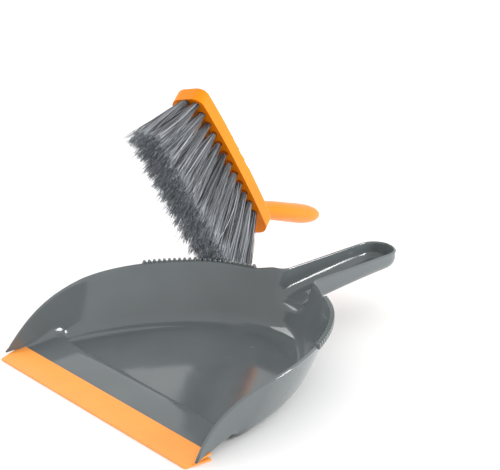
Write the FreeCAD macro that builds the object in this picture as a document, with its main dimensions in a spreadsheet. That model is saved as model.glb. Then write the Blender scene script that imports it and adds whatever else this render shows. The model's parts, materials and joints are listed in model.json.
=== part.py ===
"""Dust pan and hand brush.

Frame: millimetres, +Z up, X to the pan's right, Y from the pouring lip to the handle.
The origin is on the pan's flat underside.  The pan's own sizes are measured from its
front edge, so each sub-part is moved back by origin_setback once it is made.  The brush
is modelled in its own frame (X heel to free end, Y across, Z from the bristle tips to the
back) and then placed beside the comb of the pan, as when its bristles are combed clean.
"""
import FreeCAD, Part
import Sketcher
import math
import os

V = FreeCAD.Vector
doc = FreeCAD.newDocument("DustPanAndBrush")

# ---------------------------------------------------------------- driving dimensions
SIZES = [
    ("origin_setback", 130, "distance from the front edge back to the origin"),
    ("wall", 2.2, "wall thickness of the pan"),
    ("rim_half", 130.5, "half width of the pan over its straight sides"),
    ("rim_bend", 88, "where the rim starts to curve inwards"),
    ("rim_rear", 232, "rear of the rim"),
    ("base_half", 119.5, "half width of the flat floor with its corner"),
    ("base_front_half", 130.5, "half width of the base at the front tips of the walls"),
    ("base_bend", 56, "where the base starts to curve inwards"),
    ("base_rear", 211, "rear of the base"),
    ("floor_round", 11, "inside radius between floor and wall"),
    ("rim_height", 54, "height of the rim at the comb"),
    ("rim_fade", 34, "distance over which the rim levels out behind the lip"),
    ("tip_height", 4.5, "height of the wall where it starts beside the lip"),
    ("wall_front", 7, "where the side walls start behind the front edge"),
    ("ramp_foot", 24, "rear edge of the lip strip"),
    ("ramp_crest", 50, "crest of the entry ramp"),
    ("ramp_drop", 61, "where the ramp has come down to the floor"),
    ("crest_height", 9.4, "height of the ramp's crest"),
    ("foot_height", 5.0, "height of the ramp beside the lip strip"),
    ("comb_start", 146, "front end of the comb"),
    ("comb_end_half", 44, "half distance between the two combs at the handle"),
    ("comb_lip", 1.2, "overhang of the comb's band outside the wall"),
    ("comb_band", 3.4, "height of the comb's band"),
    ("tooth_pitch", 4.6, "pitch of the comb"),
    ("tooth_height", 2.2, "height of a tooth above the band"),
    ("tooth_length", 4, "length of a tooth where it leaves the band"),
    ("tooth_sunk", 0.6, "how far a tooth reaches down into the band"),
    ("handle_half", 19, "half width of the pan's handle"),
    ("handle_end", 345, "rear end of the pan's handle"),
    ("handle_top", 55, "height of the handle's edges"),
    ("handle_root_low", 30, "underside of the handle at the wall"),
    ("handle_end_low", 38, "underside of the handle near its end"),
    ("handle_round", 11, "radius along the underside of the handle"),
    ("pan_hole", 9, "diameter of the hanging hole in the pan's handle"),
    ("pan_hole_inset", 15, "hanging hole's centre from the end of the handle"),
    ("lip_half", 128, "half length of the lip strip at its rear edge"),
    ("lip_taper", 3, "how much shorter each end of the lip strip is at the front"),
    ("lip_skin", 1.3, "thickness of the lip strip's upper and lower flange"),
    ("lip_nose", 1.9, "height of the lip strip's front edge"),
    ("lip_bevel", 0.6, "bevel along the lip strip's front edge"),
    ("tongue_front", 6, "front edge of the pan's tongue inside the lip strip"),
    ("block_length", 169, "length of the brush block"),
    ("block_width", 32, "width of the brush block"),
    ("block_height", 16, "thickness of the brush block"),
    ("block_corner", 10, "corner radius of the block in plan"),
    ("block_edge", 3.2, "radius along the back edges of the block"),
    ("block_bow", 4, "arch of the block between its ends"),
    ("bristle", 74, "free length of the bristles"),
    ("tuft_first", 161, "first pair of tufts, measured from the heel"),
    ("tuft_pitch", 12.4, "pitch of the tufts along the block"),
    ("tuft_columns", 12, "tufts in each outer row"),
    ("tuft_row", 9, "distance of the outer rows from the middle"),
    ("tuft_diameter", 6.2, "diameter of a tuft at its root"),
    ("tuft_tip", 11, "diameter of a tuft at its tips"),
    ("tuft_depth", 8.5, "depth of a tuft hole at the ends of the block"),
    ("tuft_clear", 0.2, "clearance around a tuft in its hole"),
    ("fan", 0.35, "how far the tips spread along the block"),
    ("fan_side", 0.2, "how far the tips spread across the block"),
    ("staple_width", 4.6, "width of an anchor staple"),
    ("staple_height", 2.4, "depth of an anchor staple below its hole"),
    ("staple_gauge", 0.6, "thickness of an anchor staple"),
    ("grip_start", 15, "where the handle's axis leaves the block's back, from the heel"),
    ("grip_length", 122, "length of the brush handle"),
    ("grip_angle", 42, "angle between the brush handle and the block"),
    ("grip_width", 27, "widest part of the brush handle"),
    ("grip_depth", 19, "thickness of the brush handle"),
    ("grip_hole", 7, "diameter of the hanging hole in the brush handle"),
    ("grip_hole_inset", 15, "hanging hole's centre from the end of the brush handle"),
    ("neck_round", 4, "radius between the brush handle and the block"),
    ("grip_end_round", 2, "radius around the end of the brush handle"),
    ("brush_x", -84.1, "heel of the bristle tips: across the pan"),
    ("brush_y", 220.6, "heel of the bristle tips: along the pan"),
    ("brush_z", 15.9, "heel of the bristle tips: height"),
    ("brush_yaw", -91, "turn of the brush about Z"),
    ("brush_pitch", -61, "tilt of the brush, free end up"),
    ("brush_roll", 25, "roll of the brush about its length"),
]

sheet = doc.addObject("Spreadsheet::Sheet", "Sizes")
for row, (alias, value, note) in enumerate(SIZES, start=1):
    sheet.set(f"A{row}", note)
    sheet.set(f"B{row}", str(value))
    sheet.setAlias(f"B{row}", alias)
doc.recompute()


def size(alias):
    """Value of one cell of the sheet."""
    return float(sheet.get(alias))


def bind(obj, prop, expression):
    """Binds a property to the sheet; names in the expression are the sheet's aliases."""
    obj.setExpression(prop, expression)


HOME = FreeCAD.Placement(V(0, -size("origin_setback"), 0), FreeCAD.Rotation())
WALL = size("wall")
HANDLE_TOP = size("handle_top")
MARGIN = 20  # how far cutting shapes reach past what they cut


# ---------------------------------------------------------------- helpers
def box(x0, x1, y0, y1, z0, z1):
    return Part.makeBox(x1 - x0, y1 - y0, z1 - z0, V(x0, y0, z0))


def prism_x(points, half):
    """Prism along X with a profile given as (y, z) pairs."""
    corners = [V(-half, y, z) for y, z in points]
    face = Part.Face(Part.makePolygon(corners + corners[:1]))
    return face.extrude(V(2 * half, 0, 0))


def feature(label, shape):
    """A sub-part whose shape is made with Part's own functions."""
    obj = doc.addObject("Part::Feature", label)
    obj.Label = label
    obj.Shape = shape
    return obj


# ---------------------------------------------------------------- outlines of the pan
BOW_STEPS = 9
SIDE_STEPS = 6
BASE_POWER = 1.42  # roundness of the rear curve: 2 is an ellipse, 1 a pair of straight lines
RIM_POWER = 1.65
LEAN_POWER = 0.85  # below 1 the walls lean most near the floor
RIM_NARROWING = 1.0  # how much narrower the rim is beside the lip strip
LOFT_ABOVE = 1.15  # the walls are lofted past the rim's height and then cut to it


class Outline:
    """Half width over Y: nearly straight sides that run into a rounded rear."""

    def __init__(self, half, front_half, bend, rear, power):
        self.half = half
        self.front_half = front_half
        self.bend = bend
        self.rear = rear
        self.power = power

    def point(self, turn):
        """Point on the rear curve; turn is 0 at the bend and 90 at the middle."""
        angle = math.radians(turn)
        reach = (self.rear - self.bend) * math.sin(angle) ** (2 / self.power)
        return self.half * math.cos(angle), self.bend + reach

    def front_share(self, y):
        """0 behind the bend, 1 at the front tips of the walls, in a curve between them."""
        share = min(max((self.bend - y) / (self.bend - size("wall_front")), 0), 1)
        return share * share

    def side(self, y):
        """Half width in front of the bend: it widens in a curve up to the front tips."""
        share = self.front_share(y)
        return self.half + (self.front_half - self.half) * share

    def points(self, front, inset, rounding):
        """Points from the right front corner round the rear to the left one.

        The inset is the same all round; the rounding at the floor fades out to the lip.
        """
        right = []
        for step in range(SIDE_STEPS):
            y = front + (self.bend - front) * step / SIDE_STEPS
            share = 1 - self.front_share(y)
            right.append((self.side(y) - inset - rounding * share, y))
        inset = inset + rounding
        for step in range(BOW_STEPS):
            x, y = self.point(90 * step / BOW_STEPS)
            x_next, y_next = self.point(90 * step / BOW_STEPS + 0.5)
            length = math.hypot(x_next - x, y_next - y)
            across, along = (y_next - y) / length, (x - x_next) / length
            right.append((x - inset * across, y - inset * along))
        middle = [(0, self.rear - inset)]
        return right + middle + [(-x, y) for x, y in reversed(right)]

    def wire(self, z, front, inset, rounding=0.0):
        points = [V(x, y, z) for x, y in self.points(front, inset, rounding)]
        curve = Part.BSplineCurve()
        curve.interpolate(points)
        closing = Part.makeLine(points[-1], points[0])
        return Part.Wire([curve.toShape(), closing])


def outline_at(height):
    """The wall's outer outline at a height, between the base and the rim."""
    share = height / size("rim_height")
    lean = share ** LEAN_POWER

    def between(low, high):
        return low + (high - low) * lean

    return Outline(
        between(size("base_half"), size("rim_half")),
        between(size("base_front_half"), size("rim_half") - RIM_NARROWING),
        between(size("base_bend"), size("rim_bend")),
        between(size("base_rear"), size("rim_rear")),
        between(BASE_POWER, RIM_POWER),
    )


def shell_loft(front, lift, inset, radius):
    """Solid inside the wall's surface; radius rounds the edge between floor and wall."""
    heights = [radius * level for level in (0, 0.12, 0.35, 0.7, 1.1)]
    heights += [size("rim_height") * share for share in (0.5, 0.8, LOFT_ABOVE)]
    wires = []
    for height in heights:
        low = max(radius - height, 0)
        rounding = radius - math.sqrt(radius ** 2 - low ** 2)
        z = lift + height
        wires.append(outline_at(z).wire(z, front, inset, rounding))
    return Part.makeLoft(wires, True, True)


def rim_height_at(y):
    """Height of the rim over Y: it rises steeply beside the lip and then levels out."""
    fade = size("rim_fade")
    level_at = size("comb_start")
    rise = size("rim_height") - size("tip_height")
    whole = 1 - math.exp((size("wall_front") - level_at) / fade)
    return size("tip_height") + rise * (1 - math.exp((size("wall_front") - y) / fade)) / whole


# ---------------------------------------------------------------- the pan
def rim_cutter():
    """Everything above the rim's edge, in front of the comb and over it."""
    level_from = size("comb_start")
    steps = 12
    crowding = 1.6  # puts more of the points where the rim is steep
    first = size("wall_front") - 1
    heights = []
    for step in range(steps + 1):
        y = first + (level_from - first) * (step / steps) ** crowding
        heights.append(V(0, y, min(rim_height_at(y), size("rim_height"))))
    curve = Part.BSplineCurve()
    curve.interpolate(heights)
    top = size("rim_height") + MARGIN
    far = size("rim_rear") + MARGIN
    start, end = heights[0], heights[-1]
    corners = [end, V(0, far, end.z), V(0, far, top), V(0, start.y - MARGIN, top),
               V(0, start.y - MARGIN, start.z), start]
    lines = [Part.makeLine(a, b) for a, b in zip(corners, corners[1:])]
    face = Part.Face(Part.Wire([curve.toShape()] + lines))
    half = size("rim_half") + MARGIN
    face.translate(V(-half, 0, 0))
    return face.extrude(V(2 * half, 0, 0))


def lip_slope():
    """Rise of the lip strip's upper face over its depth."""
    return (size("foot_height") + size("lip_skin") - size("lip_nose")) / size("ramp_foot")


def ramp_profile(lift):
    """Upper line of the entry ramp behind the lip strip as (y, z) pairs, moved up by lift."""
    easing = 4  # half the length over which the crest is rounded
    return [
        (size("ramp_crest") - easing, lift + size("crest_height") - 0.5),
        (size("ramp_crest"), lift + size("crest_height")),
        (size("ramp_crest") + easing, lift + size("crest_height") - 1.2),
        (size("ramp_drop") - easing / 2, lift + WALL + 0.6),
        (size("ramp_drop") + easing / 2, lift + WALL),
    ]


def ramp_floor(body_block):
    """The ramp's sheet inside the walls, with its tongue for the lip strip."""
    nose = size("lip_nose") + lip_slope() * size("tongue_front") - size("lip_skin")
    tongue = [(size("ramp_foot"), size("lip_skin")), (size("tongue_front"), size("lip_skin")),
              (size("tongue_front"), nose), (size("ramp_foot"), size("foot_height"))]
    overlap = size("ramp_drop") + size("floor_round")
    profile = tongue + ramp_profile(0) + [(overlap, WALL), (overlap, 0)]
    profile += list(reversed(ramp_profile(-WALL)[:-1]))
    return prism_x(profile, size("rim_half") + 5).common(body_block)


def under_ramp():
    """The hollow below the ramp's sheet, open to the front."""
    profile = [(-MARGIN, -MARGIN), (-MARGIN, size("lip_skin")), (size("ramp_foot"), size("lip_skin"))]
    profile += ramp_profile(-WALL)[:-1] + [(size("ramp_drop") - 1, -MARGIN)]
    return prism_x(profile, size("rim_half") + MARGIN)


def lip_room():
    """Room for the lip strip, below the walls that stand on it; only the tongue fills it."""
    line_start = size("lip_nose") - lip_slope() * MARGIN
    profile = [(-MARGIN, -MARGIN), (size("ramp_foot"), -MARGIN),
               (size("ramp_foot"), size("foot_height") + size("lip_skin")), (-MARGIN, line_start)]
    return prism_x(profile, size("rim_half") + MARGIN)


def comb_line():
    """Points along the rim's outer edge on the right side, with their arc lengths."""
    rim = outline_at(size("rim_height"))
    samples = []
    length = 0.0
    steps = 400
    for step in range(steps + 1):
        x, y = rim.point(90 * step / steps)
        if samples:
            length += math.hypot(x - samples[-1][1], y - samples[-1][2])
        samples.append((length, x, y))
    return [s for s in samples if s[2] >= size("comb_start") and s[1] >= size("comb_end_half")]


def comb_band():
    """Thickened band under the teeth, on both sides."""
    rim = outline_at(size("rim_height"))
    low = size("rim_height") - size("comb_band")
    front = size("rim_bend") - MARGIN
    outer = Part.Face(rim.wire(low, front, -size("comb_lip")))
    inner = Part.Face(rim.wire(low, front, WALL - 0.1))
    lift = V(0, 0, size("comb_band"))
    ring = outer.extrude(lift).cut(inner.extrude(lift))
    far = size("rim_rear") + MARGIN
    top = size("rim_height") + 1
    sides = []
    for sign in (-1, 1):
        edge = sorted((sign * size("comb_end_half"), sign * (size("rim_half") + MARGIN)))
        sides.append(box(edge[0], edge[1], size("comb_start"), far, 0, top))
    return ring.common(sides[0].fuse(sides[1]))


def comb_teeth():
    """Rounded upright teeth, one every pitch along each band."""
    line = comb_line()
    length = line[-1][0] - line[0][0]
    count = int(length / size("tooth_pitch"))
    inset = 0.2  # the teeth stand back from both faces of the band
    depth = WALL + size("comb_lip") - 2 * inset
    base, root, height = size("tooth_length"), size("tooth_sunk"), size("tooth_height")
    shoulder, crown = 0.2 * base, 0.85 * height
    teeth = []
    for number in range(count):
        goal = line[0][0] + (number + 0.5) * length / count
        before = max((s for s in line if s[0] <= goal), key=lambda s: s[0])
        after = min((s for s in line if s[0] > goal), key=lambda s: s[0])
        along = V(after[1] - before[1], after[2] - before[2], 0).normalize()
        outward = V(along.y, -along.x, 0)
        place = V(before[1], before[2], size("rim_height"))
        place += outward * (size("comb_lip") - inset - depth)
        profile = [(-base / 2, -root), (-base / 2, 0), (-shoulder, crown), (0, height),
                   (shoulder, crown), (base / 2, 0), (base / 2, -root)]
        corners = [place + along * a + V(0, 0, b) for a, b in profile]
        tooth = Part.Face(Part.makePolygon(corners + corners[:1])).extrude(outward * depth)
        teeth.append(tooth)
        teeth.append(tooth.mirror(V(0, 0, 0), V(1, 0, 0)))
    return teeth


def channel_section(y, half, low, top, radius):
    """Closed section of the handle across Y, rounded along its two lower edges."""
    a, b = V(-half, y, top), V(-half, y, low + radius)
    c, d = V(-half + radius, y, low), V(half - radius, y, low)
    e, f = V(half, y, low + radius), V(half, y, top)
    slant = radius * (1 - math.sqrt(0.5))
    left = Part.Arc(b, V(-half + slant, y, low + slant), c).toShape()
    right = Part.Arc(d, V(half - slant, y, low + slant), e).toShape()
    lines = [Part.makeLine(a, b), left, Part.makeLine(c, d), right, Part.makeLine(e, f),
             Part.makeLine(f, a)]
    return Part.Wire(lines)


def rounded_plan(half, end, start, low, top):
    """Upright prism with a round end, to give the handle its plan."""
    middle = end - half
    tip = V(0, end, low)
    arc = Part.Arc(V(half, middle, low), tip, V(-half, middle, low)).toShape()
    lines = [Part.makeLine(V(-half, middle, low), V(-half, start, low)),
             Part.makeLine(V(-half, start, low), V(half, start, low)),
             Part.makeLine(V(half, start, low), V(half, middle, low))]
    return Part.Face(Part.Wire([arc] + lines)).extrude(V(0, 0, top - low))


def handle_solid(inset, start, top):
    """The handle's outside, or with an inset its channel."""
    half = size("handle_half") - inset
    radius = size("handle_round") - inset
    end = size("handle_end") - inset
    root, tail = size("handle_root_low") + inset, size("handle_end_low") + inset
    sections = []
    for share in (0, 0.35, 0.7, 1):
        y = start + (end + 5 - start) * share
        low = root + (tail - root) * math.sin(share * math.pi / 2)
        sections.append(channel_section(y, half, low, top, radius))
    solid = Part.makeLoft(sections, True, False)
    return solid.common(rounded_plan(half, end, start - 5, 0, top + 5))


def make_pan():
    outside = shell_loft(size("wall_front"), 0, 0, size("floor_round") + WALL)
    inside = shell_loft(size("wall_front") - MARGIN, WALL, WALL, size("floor_round"))
    beyond = size("rim_half") + MARGIN
    low_slice = box(-beyond, beyond, 0, size("handle_end"), 0, size("crest_height") + MARGIN)
    body_block = outside.common(low_slice)
    wide_front = box(-size("lip_half") + size("lip_taper"), size("lip_half") - size("lip_taper"),
                     size("tongue_front"), size("wall_front") + 1, 0, size("crest_height"))
    ramp = ramp_floor(body_block.fuse(wide_front))
    handle = handle_solid(0, size("base_rear") + WALL, HANDLE_TOP)
    channel = handle_solid(WALL, size("base_rear") - 2 * MARGIN, HANDLE_TOP + MARGIN)
    shell = outside.cut(inside).cut(rim_cutter())
    shell = shell.fuse(handle.cut(outside))
    shell = shell.cut(channel)
    shell = shell.cut(under_ramp()).cut(lip_room())
    shell = shell.fuse(ramp)
    hole_y = size("handle_end") - size("pan_hole_inset")
    hole = Part.makeCylinder(size("pan_hole") / 2, HANDLE_TOP, V(0, hole_y, 0))
    shell = shell.cut(hole)
    shell = shell.fuse([comb_band()] + comb_teeth())
    return shell.removeSplitter()


feature("pan_body", make_pan()).Placement = HOME


# ---------------------------------------------------------------- PartDesign helpers
def new_body(label):
    body = doc.addObject("PartDesign::Body", label)
    body.Label = label
    return body


def plane_of(body, role):
    return [f for f in body.Origin.OriginFeatures if f.Role == role][0]


def new_sketch(body, role, name, offset=None):
    sketch = body.newObject("Sketcher::SketchObject", name)
    sketch.AttachmentSupport = [(plane_of(body, role), "")]
    sketch.MapMode = "FlatFace"
    if offset is not None:
        sketch.AttachmentOffset = offset
    return sketch


def tie_point(sketch, edge, end, x_expression, y_expression):
    """Holds one end of an edge at coordinates taken from the sheet."""
    for axis, expression in (("DistanceX", x_expression), ("DistanceY", y_expression)):
        index = sketch.addConstraint(Sketcher.Constraint(axis, -1, 1, edge, end, 1.0))
        sketch.setExpression(f"Constraints[{index}]", expression)


def polygon(sketch, corners):
    """Closed polygon whose corners are pairs of (start value, expression) for X and Y."""
    points = [V(x, y, 0) for (x, _), (y, _) in corners]
    first = sketch.GeometryCount
    for a, b in zip(points, points[1:] + points[:1]):
        sketch.addGeometry(Part.LineSegment(a, b))
    count = len(points)
    for k in range(count):
        after = first + (k + 1) % count
        sketch.addConstraint(Sketcher.Constraint("Coincident", first + k, 2, after, 1))
    for k, ((_, x_expression), (_, y_expression)) in enumerate(corners):
        tie_point(sketch, first + k, 1, x_expression, y_expression)


# ---------------------------------------------------------------- the lip strip
def make_lip():
    """Rubber strip that grips the pan's tongue between an upper and a lower flange."""
    body = new_body("lip_strip")
    nose, skin, foot = size("lip_nose"), size("lip_skin"), size("ramp_foot")
    front, bevel = size("tongue_front"), size("lip_bevel")
    slope = "(Sizes.foot_height + Sizes.lip_skin - Sizes.lip_nose) / Sizes.ramp_foot"
    under_nose = f"Sizes.lip_nose + {slope} * Sizes.tongue_front - Sizes.lip_skin"
    at_foot, at_front = (foot, "Sizes.ramp_foot"), (front, "Sizes.tongue_front")
    at_bevel, at_zero = (bevel, "Sizes.lip_bevel"), (0.01, "0.01")
    profile = new_sketch(body, "YZ_Plane", "LipProfile")
    polygon(profile, [
        (at_bevel, at_zero),
        (at_foot, at_zero),
        (at_foot, (skin, "Sizes.lip_skin")),
        (at_front, (skin, "Sizes.lip_skin")),
        (at_front, (nose + lip_slope() * front - skin, under_nose)),
        (at_foot, (size("foot_height"), "Sizes.foot_height")),
        (at_foot, (skin + size("foot_height"), "Sizes.foot_height + Sizes.lip_skin")),
        (at_bevel, (nose, "Sizes.lip_nose")),
        (at_zero, (nose - bevel, "Sizes.lip_nose - Sizes.lip_bevel")),
        (at_zero, at_bevel),
    ])
    pad = body.newObject("PartDesign::Pad", "LipPad")
    pad.Profile = profile
    pad.Midplane = True
    bind(pad, "Length", "2 * Sizes.lip_half")
    ends = new_sketch(body, "XY_Plane", "LipEnds")
    half, taper = size("lip_half"), size("lip_taper")
    for sign, mark in ((1, ""), (-1, "-")):
        polygon(ends, [
            ((sign * half, f"{mark}Sizes.lip_half"), (foot, "Sizes.ramp_foot")),
            ((sign * (half - taper), f"{mark}(Sizes.lip_half - Sizes.lip_taper)"), (-1, "-1")),
            ((sign * (half + 1), f"{mark}(Sizes.lip_half + 1)"), (-1, "-1")),
        ])
    cut = body.newObject("PartDesign::Pocket", "LipEndCut")
    cut.Profile = ends
    cut.Type = 1
    cut.Midplane = True
    body.Placement = HOME
    return body


# ---------------------------------------------------------------- the brush
BRUSH = HOME * FreeCAD.Placement(
    V(size("brush_x"), size("brush_y"), size("brush_z")),
    FreeCAD.Rotation(size("brush_yaw"), size("brush_pitch"), size("brush_roll")),
)


def tuft_places():
    """Root centres (x, y) of all tufts: two outer rows and a staggered middle row."""
    places = []
    columns = int(size("tuft_columns"))
    for column in range(columns):
        x = size("tuft_first") - column * size("tuft_pitch")
        places.append((x, size("tuft_row")))
        places.append((x, -size("tuft_row")))
        if column < columns - 1:
            places.append((x - size("tuft_pitch") / 2, 0))
    places.append((size("tuft_first") + size("tuft_pitch") / 3, 0))
    return places


def tuft_middle():
    """Middle of the tufted length, about which the tips fan out."""
    return size("tuft_first") - (size("tuft_columns") - 1) * size("tuft_pitch") / 2


def bow_height(x):
    """Height of the block's arch over its length."""
    half = size("block_length") / 2
    return size("block_bow") * (1 - ((x - half) / half) ** 2)


def circle(x, y, z, radius):
    return Part.Wire(Part.Circle(V(x, y, z), V(0, 0, 1), radius).toShape())


def tuft_shape(x, y):
    """One tuft: a straight root in its hole and a bundle that spreads to its tips."""
    top = size("bristle") + size("tuft_depth")
    mouth = size("bristle") - 1
    spread_x = tuft_middle() + (x - tuft_middle()) * (1 + size("fan"))
    spread_y = y * (1 + size("fan_side"))
    radius = size("tuft_diameter") / 2
    wires = [circle(spread_x, spread_y, 0, size("tuft_tip") / 2), circle(x, y, mouth, radius),
             circle(x, y, top, radius)]
    return Part.makeLoft(wires, True, True)


def staple_box(x, y):
    width, gauge = size("staple_width"), size("staple_gauge")
    corner = V(x - width / 2, y - gauge / 2, size("bristle") + size("tuft_depth"))
    return Part.makeBox(width, gauge, size("staple_height"), corner)


# Sections of the brush handle: distance along its axis as a share of its length, and its
# width and thickness as shares of the largest.  The first one lies inside the block.
GRIP_SECTIONS = [
    (-0.08, 0.78, 0.68),
    (0.07, 0.82, 0.84),
    (0.25, 0.92, 0.95),
    (0.54, 1.0, 1.0),
    (0.82, 0.92, 0.95),
    (0.94, 0.67, 0.68),
    (1.0, 0.33, 0.37),
]


def grip_point(along):
    """Point on the axis of the brush handle."""
    angle = math.radians(size("grip_angle"))
    start = size("grip_start")
    back = size("bristle") + size("block_height") + bow_height(start)
    return V(start, 0, back) + V(-math.cos(angle), 0, math.sin(angle)) * along


def ellipse_sketch(body, along, width, depth, number):
    """Oval section of the brush handle at a distance along its axis."""
    turn = FreeCAD.Rotation(V(0, 1, 0), size("grip_angle") - 90)
    place = FreeCAD.Placement(grip_point(along), turn)
    sketch = new_sketch(body, "XY_Plane", f"Grip{number}", place)
    long_side, short_side = V(0, width / 2, 0), V(depth / 2, 0, 0)
    if width < depth:
        long_side, short_side = short_side, long_side
    sketch.addGeometry(Part.Ellipse(long_side, short_side, V(0, 0, 0)))
    return sketch


def make_block():
    """Brush block with its handle, tuft holes and anchor slots."""
    body = new_body("brush_block")
    length, bottom = size("block_length"), size("bristle")
    height, bow = size("block_height"), size("block_bow")
    side = new_sketch(body, "XZ_Plane", "BlockSide")
    arcs = []
    for z in (bottom, bottom + height):
        arcs.append(Part.Arc(V(0, z, 0), V(length / 2, z + bow, 0), V(length, z, 0)))
    side.addGeometry(arcs[0])
    side.addGeometry(arcs[1])
    side.addGeometry(Part.LineSegment(V(0, bottom, 0), V(0, bottom + height, 0)))
    side.addGeometry(Part.LineSegment(V(length, bottom, 0), V(length, bottom + height, 0)))
    pad = body.newObject("PartDesign::Pad", "Block")
    pad.Profile = side
    pad.Midplane = True
    bind(pad, "Length", "Sizes.block_width")
    doc.recompute()
    corners = body.newObject("PartDesign::Fillet", "BlockCorners")
    corners.Base = (pad, upright_edges(pad.Shape))
    bind(corners, "Radius", "Sizes.block_corner")
    doc.recompute()
    edges = body.newObject("PartDesign::Fillet", "BlockEdges")
    edges.Base = (corners, back_edges(corners.Shape, bottom + height - 1))
    bind(edges, "Radius", "Sizes.block_edge")
    doc.recompute()

    sketches = []
    for number, (along, width, depth) in enumerate(GRIP_SECTIONS):
        sketches.append(ellipse_sketch(body, along * size("grip_length"), width * size("grip_width"),
                                       depth * size("grip_depth"), number))
    grip = body.newObject("PartDesign::AdditiveLoft", "Grip")
    grip.Profile = sketches[0]
    grip.Sections = sketches[1:]
    doc.recompute()
    neck = body.newObject("PartDesign::Fillet", "Neck")
    neck.Base = (grip, neck_edges(grip.Shape, bottom + height))
    bind(neck, "Radius", "Sizes.neck_round")
    doc.recompute()
    rounded_end = body.newObject("PartDesign::Fillet", "GripEnd")
    rounded_end.Base = (neck, end_edges(neck.Shape))
    bind(rounded_end, "Radius", "Sizes.grip_end_round")
    doc.recompute()

    holes = new_sketch(body, "XY_Plane", "TuftHoles")
    radius = size("tuft_diameter") / 2 + size("tuft_clear")
    for x, y in tuft_places():
        holes.addGeometry(Part.Circle(V(x, y, 0), V(0, 0, 1), radius))
    drill = body.newObject("PartDesign::Pocket", "TuftDrilling")
    drill.Profile = holes
    drill.Reversed = True
    bind(drill, "Length", "Sizes.bristle + Sizes.tuft_depth")
    slots = new_sketch(body, "XY_Plane", "StapleSlots")
    half_width, half_gauge = size("staple_width") / 2, size("staple_gauge") / 2
    for x, y in tuft_places():
        corners_of = [V(x - half_width, y - half_gauge, 0), V(x + half_width, y - half_gauge, 0),
                      V(x + half_width, y + half_gauge, 0), V(x - half_width, y + half_gauge, 0)]
        for a, b in zip(corners_of, corners_of[1:] + corners_of[:1]):
            slots.addGeometry(Part.LineSegment(a, b))
    slot_cut = body.newObject("PartDesign::Pocket", "StapleSlotCut")
    slot_cut.Profile = slots
    slot_cut.Reversed = True
    bind(slot_cut, "Length", "Sizes.bristle + Sizes.tuft_depth + Sizes.staple_height")

    hang_sketch = new_sketch(body, "XY_Plane", "HangHole", hang_plane())
    hang_sketch.addGeometry(Part.Circle(V(0, 0, 0), V(0, 0, 1), size("grip_hole") / 2))
    hang_cut = body.newObject("PartDesign::Pocket", "HangHoleCut")
    hang_cut.Profile = hang_sketch
    hang_cut.Midplane = True
    bind(hang_cut, "Length", "3 * Sizes.grip_depth")
    doc.recompute()
    body.Placement = BRUSH
    return body


def hang_plane():
    """Plane across the brush handle near its end, facing through its thickness."""
    centre = grip_point(size("grip_length") - size("grip_hole_inset"))
    return FreeCAD.Placement(centre, FreeCAD.Rotation(V(0, 1, 0), size("grip_angle")))


def neck_edges(shape, back):
    """Name of the closed curve where the handle leaves the block's back."""
    names = []
    for number, edge in enumerate(shape.Edges, start=1):
        low_enough = edge.BoundBox.ZMin > back - 1 and edge.BoundBox.ZMax < back + 2 * size("block_bow")
        if low_enough and edge.isClosed():
            names.append(f"Edge{number}")
    return names


def end_edges(shape):
    """Name of the oval edge around the far end of the handle."""
    far = grip_point(size("grip_length")).z
    names = []
    for number, edge in enumerate(shape.Edges, start=1):
        if edge.isClosed() and edge.BoundBox.ZMax > far:
            names.append(f"Edge{number}")
    return names


def upright_edges(shape):
    """Names of the straight edges along Z."""
    names = []
    for number, edge in enumerate(shape.Edges, start=1):
        box_of = edge.BoundBox
        if box_of.XLength < 0.01 and box_of.YLength < 0.01:
            names.append(f"Edge{number}")
    return names


def back_edges(shape, above):
    """Names of the edges around the back face."""
    names = []
    for number, edge in enumerate(shape.Edges, start=1):
        if edge.BoundBox.ZMin > above:
            names.append(f"Edge{number}")
    return names


make_lip()
make_block()
for number, (x, y) in enumerate(tuft_places(), start=1):
    tuft = feature(f"tuft_{number:02d}", tuft_shape(x, y))
    tuft.Placement = BRUSH
staples = feature("anchor_staples", Part.makeCompound([staple_box(x, y) for x, y in tuft_places()]))
staples.Placement = BRUSH

# ---------------------------------------------------------------- checks and files
doc.recompute()
for obj in doc.Objects:
    if "Invalid" in obj.State or "Error" in obj.State:
        raise RuntimeError(f"{obj.Label} did not recompute")

sub_parts = [obj for obj in doc.Objects if obj.TypeId in ("PartDesign::Body", "Part::Feature")]
os.makedirs("parts", exist_ok=True)
for obj in sub_parts:
    shape = obj.Shape
    if shape.isNull() or not shape.isValid():
        raise RuntimeError(f"{obj.Label} has no valid shape")
    print(obj.Label, len(shape.Solids), round(shape.Volume, 1))
for obj in sub_parts:
    obj.Shape.exportStep(f"parts/{obj.Label}.step")
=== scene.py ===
"""Dust pan and hand brush: visible pieces and finishes, built around the fixed frame.

Lengths are in metres in the row frame: X to the pan's right, Y from lip to handle, Z up.
The forms are worked out in millimetres and scaled once, when a vertex is placed.
"""
import json
import math
import random

import bmesh
import bpy
from bpy.props import FloatProperty, FloatVectorProperty, IntProperty, PointerProperty
from mathutils import Euler, Matrix, Vector

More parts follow.
